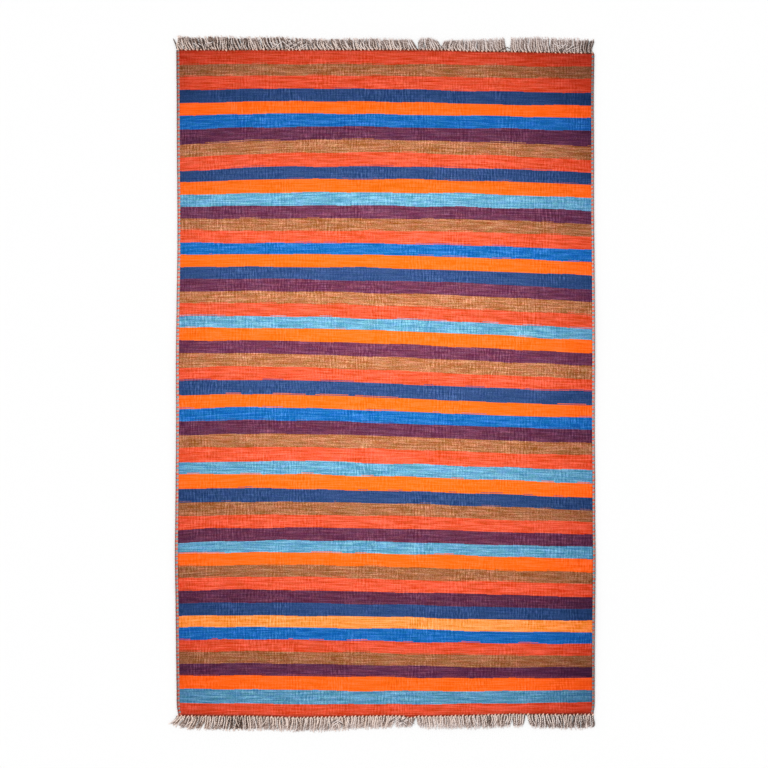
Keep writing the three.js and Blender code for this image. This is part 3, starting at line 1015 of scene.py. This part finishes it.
# %% Plan the strands
def plan_strands(end, knots):
    """The numbers of each strand of one end, in millimetres."""
    dice = random.Random(end["seed"])
    partings = end["partings"]
    length = curve_through(end["fringe"], "across", "length")
    lean = curve_through(end["fringe"], "across", "lean")
    warm, cooler = end["warmth"]
    clumps = []
    place = -CLUMPS_TO
    while place < CLUMPS_TO:
        clumps.append(place)
        place += dice.uniform(14, 34)

    def waver(pitch, depth):
        return ripple(across / pitch, end["seed"], depth)

    strands = []
    for depth, layer in enumerate(LAYERS):
        spacing = 2 * STRANDS_TO / layer["strands"]
        for index in range(layer["strands"]):
            across = -STRANDS_TO + spacing * (index + 0.5 + dice.uniform(-0.15, 0.15))
            if any(abs(across - parting["across"]) < parting["bare"] / 2 for parting in partings):
                continue
            near = sum(0.9 * bump(across, parting["across"], 18) for parting in partings)
            rounding = sum(0.2 * (p["left"] + p["right"]) * bump(across, p["across"], 14) for p in partings)
            unlike = 1 - patched(across, end, "alike")
            calm = (1 - min(0.9, near)) * unlike
            clump = min(clumps, key=lambda middle: abs(middle - across))
            knot = min(knots, key=lambda middle: abs(middle - across))
            pull = end["pull"] * (clump - across) * dice.uniform(0.05, 0.2) * (depth > 0) * calm
            hook = -end["outward"] * end["hook"] * (1 + 0.8 * waver(33, 40))
            gather = (knot - across) * end["gather"]
            girth = layer["girth"] * dice.uniform(0.88, 1.12)
            strands.append({
                "across": across - hook / 2 + gather,
                "out": ROOT_BAND - 1.5,
                "height": layer["height"],
                "reach": length(across) * layer["reach"] - ROOT_BAND + 3.5 * waver(13, depth * 0.3 + 20)
                - rounding + dice.uniform(-2.5, 1.3),
                "lean": lean(across) + pushed(across, partings) + pull
                + 10 * waver(27, depth * 0.4) * end["together"] * calm
                + dice.gauss(0, layer["loose"]) * end["loose"] * calm,
                "bow": (8 * waver(21, depth * 0.4 + 5) * end["together"] + dice.gauss(0, 0.6) * end["loose"])
                * calm,
                "hook": hook - gather,
                "sway": 3 * waver(17, depth * 0.4 + 9) + dice.gauss(0, 0.5),
                "lift": dice.uniform(0.0, 1.2) * (depth > 0),
                "girth": girth,
                "fall": layer["height"] - girth * 0.345,
                "phase": dice.uniform(0, 2 * math.pi),
                "tone": MIDDLE_TONE + (dice.uniform(*layer["tone"]) - MIDDLE_TONE) * unlike
                + patched(across, end, "tone"),
                "warmth": warm - cooler * across / FRINGE_HALF + dice.uniform(-0.35, 0.35),
            })
    straight = {"hook": 0, "sway": 0, "lift": 0, "fall": 0, "phase": 1, "warmth": 0.3}
    return strands + [{**straight, **stray} for stray in end["strays"]]


# %% A tree that grows twisted strands from their roots
STRAND_STEPS = 20
FLATTENED = 0.5  # a strand lies pressed: its plies sit beside each other more than over each other
PLY_HEIGHT = 0.65  # height of a ply as a share of its width
PLY_SIDES = 4


def strands_tree():
    """Grows a strand of two twisted plies from each point, lying out from the cloth."""
    tree, nodes, given = geometry_tree("twisted_strands", ["Outward", "Twist Length", "Steps", "Material"])
    doubled = {"Geometry": given["Geometry"], "Amount": 2}
    plies = nodes.add("GeometryNodeDuplicateElements", doubled, domain="POINT")
    plies = with_value(nodes, plies, "ply", plies["Duplicate Index"])
    straight = nodes.add("GeometryNodeCurvePrimitiveLine", {"End": (0.0, 1.0, 0.0)})
    stepped = nodes.add("GeometryNodeResampleCurve", {"Curve": straight, "Count": given["Steps"]})
    placed = nodes.add("GeometryNodeInstanceOnPoints", {"Points": plies, "Instance": stepped})
    lines = nodes.add("GeometryNodeRealizeInstances", [placed])
    lines = with_value(nodes, lines, "along", nodes.add("GeometryNodeSplineParameter"))
    names = ("along", "reach", "lean", "hook", "bow", "sway", "lift", "fall", "girth", "phase", "ply")
    along, reach, lean, hook, bow, sway, lift, fall, girth, phase, ply = (
        stored_value(nodes, name) for name in names)

    # The middle line of the strand leans and bows to the side, arches up and comes down to the floor
    arch = nodes.math("SINE", along * math.pi)
    wave = nodes.math("SINE", along * (2 * math.pi))
    across = lean * along**1.35 + bow * arch + hook * (1.0 - (1.0 - along) ** 5.0) + sway * wave
    rise = lift * arch - fall * along

    # Each ply winds round that line, and is a little thinner at its tip
    angle = reach / given["Twist Length"] * along * (2 * math.pi) + phase + ply * math.pi
    quarter = girth / 4
    offset = nodes.vector(
        across + nodes.math("COSINE", angle) * quarter,
        reach * along * given["Outward"] - along,
        rise + nodes.math("SINE", angle) * quarter * FLATTENED,
    )
    shaped = nodes.add("GeometryNodeSetPosition", {"Geometry": lines, "Offset": offset})
    sweep = {
        "Curve": nodes.add("GeometryNodeSetCurveNormal", {"Curve": shaped}, mode="Z_UP"),
        "Profile Curve": oval(nodes, PLY_SIDES, 2.0, 2 * PLY_HEIGHT),
        "Scale": quarter * (1.15 - along**8.0 * 0.45),
        "Fill Caps": True,
    }
    end_tree(nodes, [nodes.add("GeometryNodeCurveToMesh", sweep)], given["Material"])
    return tree


# %% A tree that ties the knots
KNOT_SLANT = -52  # in degrees
KNOT_CROSSING = 75  # between the two loops of a knot
KNOT_HEIGHT = 3.1


def knots_tree():
    """Two crossing loops of wool at each point, turned by its slant."""
    tree, nodes, given = geometry_tree("warp_knots", [*LOOP_SIZES, "Crossing", "Material"])
    loop = yarn_loop(nodes, given)
    loops = []
    for crossing, share in ((0.0, 1.0), (1.0, 0.68)):
        slant = stored_value(nodes, "slant") + given["Crossing"] * crossing
        turn = nodes.add("FunctionNodeEulerToRotation", [nodes.vector(0.0, 0.0, slant)])
        size = stored_value(nodes, "size") * share
        placing = {"Points": given["Geometry"], "Instance": loop, "Rotation": turn,
                   "Scale": nodes.vector(size, size, size)}
        loops.append(nodes.add("GeometryNodeInstanceOnPoints", placing))
    end_tree(nodes, loops, given["Material"])
    return tree


# %% Material of the undyed wool
WOOL_TONES = [
    (0.0, (0.050, 0.028, 0.020)),
    (0.3, (0.22, 0.146, 0.120)),
    (0.6, (0.50, 0.382, 0.342)),
    (1.0, (0.87, 0.73, 0.675)),
]
GREY_CAST = (0.94, 1.0, 1.05)
CREAM_CAST = (1.03, 1.0, 0.94)
BLED_RED = (0.95, 0.40, 0.22)

undyed_wool, nodes = wool_material("undyed_wool", 0.92)
tip = nodes.attribute("along") ** 2.5
tone = (nodes.fibres(2.4 * MM, 2.0) - 0.5) * 0.45 + nodes.attribute("tone")
tone = tone - nodes.attribute("ply") * 0.16 + tip * 0.34
shades = nodes.ramp(tone, WOOL_TONES, "LINEAR")
# The tips are greyer
cast = nodes.blend(nodes.attribute("warmth") - tip * 0.45, GREY_CAST, CREAM_CAST)
tinted = nodes.blend(1.0, shades, cast, blend_type="MULTIPLY")
# The red of the last stripe has bled into the roots, more into dark wool than into pale
bled = nodes.blend(1.0, tinted, BLED_RED, blend_type="MULTIPLY")
bled_share = nodes.attribute("bled") * (1.25 - tone * 0.6)
dress(nodes, nodes.blend(bled_share, tinted, bled), nodes.fibres(0.5 * MM, 3.0), 0.4)


# %% The shaded band of warps under the knots
BAND_STEPS = 120
BAND_PAST = 9 * MM  # how far the band runs on past the cloth's corners
INNER_HEIGHT, OUTER_HEIGHT = 2.4 * MM, 1.5 * MM


def root_band(name, edge, outward):
    """A low closed strip along an end of the cloth, from which the strands come out."""
    x = np.linspace(edge[0, 0] - BAND_PAST, edge[-1, 0] + BAND_PAST, BAND_STEPS)
    inner = edge_at(edge, x) + outward * 0.1 * MM
    outer = inner + outward * ROOT_BAND * MM
    low = lie(x, inner)
    corners = ((inner, low), (outer, low), (outer, low + OUTER_HEIGHT), (inner, low + INNER_HEIGHT))
    places = np.stack([np.stack([x, y, z], axis=-1) for y, z in corners], axis=1)
    points = np.arange(len(x) * 4).reshape(-1, 4)
    faces = grid_faces(points[:, [0, 1, 2, 3, 0]]) + [points[0, ::-1].tolist(), points[-1].tolist()]
    mesh = new_mesh(name, places, faces=[face[::outward] for face in faces])
    mesh.materials.append(undyed_wool)
    store(mesh, "tone", np.full(len(mesh.vertices), 0.08))
    return in_scene(name, mesh)


def joined(name, pieces):
    """Joins pieces into the first one."""
    with bpy.context.temp_override(active_object=pieces[0], selected_editable_objects=pieces):
        bpy.ops.object.join()
    pieces[0].name = name
    pieces[0].data.name = name
    return pieces[0]


# %% Grow both ends
TWIST_LENGTH = 11.5 * MM
BLEED_REACH = 2.6  # how far out from the cloth the red has bled

strand_growth = strands_tree()
knot_tying = knots_tree()
fringes = []
for name, end in (("far_knotted_fringe", FAR_END), ("near_knotted_fringe", NEAR_END)):
    edge, outward, seed = (end[label] for label in ("edge", "outward", "seed"))
    knots = uneven_steps(KNOT_PITCH, seed + 20)
    planned = plan_strands(end, knots)
    numbers = {label: np.array([strand[label] for strand in planned]) for label in planned[0]}
    places = rooted(end, *(numbers.pop(label) for label in ("across", "out", "height")))
    for label in numbers.keys() - {"phase", "tone", "warmth"}:
        numbers[label] = numbers[label] * MM
    inputs = {"Outward": float(outward), "Twist Length": TWIST_LENGTH, "Steps": STRAND_STEPS,
              "Material": undyed_wool}
    strands = grown(name + "_strands", start_points(name + "_roots", places, numbers), strand_growth, inputs)

    dice = random.Random(seed + 30)
    knot_draws = [(dice.uniform(0.9, 3.0), dice.uniform(-14, 14)) for _ in knots]
    knot_numbers = {
        "slant": [math.radians(KNOT_SLANT + turn) * outward for _, turn in knot_draws],
        "size": [dice.uniform(0.85, 1.15) for _ in knots],
        "tone": [dice.uniform(0.55, 1.15) + patched(across, end, "tone") for across in knots],
        "warmth": [dice.uniform(0.5, 1.3) for _ in knots],
    }
    places = rooted(end, knots, [out for out, _ in knot_draws], KNOT_HEIGHT)
    inputs = {"Crossing": math.radians(KNOT_CROSSING) * outward, "Material": undyed_wool}
    inputs.update(loop_sizes(width=8.0, height=4.4, yarn_width=3.2, yarn_depth=1.7, lean=0.6))
    ties = grown(name + "_knots", start_points(name + "_ties", places, knot_numbers), knot_tying, inputs)
    band = root_band(name + "_band", edge, outward)

    tubes = 2 * len(planned)
    loops = 2 * len(knots)
    columns = math.ceil(math.sqrt(tubes + loops + 1))
    free = unroll(strands.data, 0, tubes, STRAND_STEPS, PLY_SIDES, False, 0, columns)
    free = unroll(ties.data, 0, loops, LOOP_STEPS, YARN_SIDES, True, free, columns)
    unroll(band.data, 0, 1, len(band.data.vertices) // 4, 4, False, free, columns)
    fringe = joined(name, [strands, ties, band])
    points = read(fringe.data.vertices, "co", 3)
    out = outward * (points[:, 1] - edge_at(edge, points[:, 0])) / MM
    store(fringe.data, "bled", np.exp(-((np.maximum(out, 0) / BLEED_REACH) ** 2)))
    fringes.append(fringe)
    print(name, "with", len(planned), "strands,", len(knots), "knots, lowest",
          round(float(points[:, 2].min()) / MM, 2), "mm")

# %% [markdown]
# ## Studio
# The photo was taken from straight above on a pale ground in soft light. A bright sky lights the rug from
# all sides, and a wide sun from the upper left gives the yarns their small shadows. The camera stands so
# high that a pixel is 3 mm on the floor.

# %% Floor, light and camera
CAMERA_LENS = 85
SENSOR = 36
PHOTO_SPAN = 768 * 3.0 * MM  # the photo's side at the rug, at 3.0 mm a pixel
FLOOR_HALF = 40.0

floor_corners = [(x * FLOOR_HALF, y * FLOOR_HALF, 0) for x, y in ((-1, -1), (1, -1), (1, 1), (-1, 1))]
floor_mesh = new_mesh("studio_floor", floor_corners, faces=[(0, 1, 2, 3)])
floor = in_scene("studio_floor", floor_mesh)
floor.location.z = -0.2 * MM
paper = {"Base Color": (0.87, 0.87, 0.87, 1), "Roughness": 1.0}
floor_mesh.materials.append(shaded(bpy.data.materials.new("pale_floor"), "Principled BSDF", paper))
floor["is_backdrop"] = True

sky = {"Color": (1, 1, 1, 1), "Strength": 0.82}
bpy.context.scene.world = shaded(bpy.data.worlds.new("studio"), "Background", sky)

sun_data = bpy.data.lights.new("soft_key", "SUN")
sun_data.energy = 1.3
sun_data.angle = math.radians(40)
in_scene("soft_key", sun_data).rotation_euler = (math.radians(-25), math.radians(-30), 0)

camera_data = bpy.data.cameras.new("camera")
camera_data.lens = CAMERA_LENS
camera_data.sensor_width = SENSOR
camera = in_scene("camera", camera_data)
camera.location = (0.65 * MM, -0.9 * MM, PHOTO_SPAN * CAMERA_LENS / SENSOR)
bpy.context.scene.camera = camera
bpy.context.scene.view_settings.view_transform = "Standard"
print("camera height:", round(camera.location.z, 2), "m")

# %% Hang each piece from the rug's body and hide its solid
for piece, solid, slot in (
    (cloth, "woven_cloth", "striped_wool"),
    (bindings[0], "left_edge_binding", "binding_yarn"),
    (bindings[1], "right_edge_binding", "binding_yarn"),
    (fringes[0], "far_end_fringe", "undyed_wool"),
    (fringes[1], "near_end_fringe", "undyed_wool"),
):
    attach(piece, "root")
    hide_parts(solid)
    print(piece.name, sum(len(face.vertices) - 2 for face in piece.data.polygons), "triangles")

# %% Print the sizes of the solids and of the new pieces
visual_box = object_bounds()
sizes = {
    "cad": [[float(value) for value in corner] for corner in cad_box],
    "visual": [[float(value) for value in corner] for corner in visual_box],
}
print(sizes)
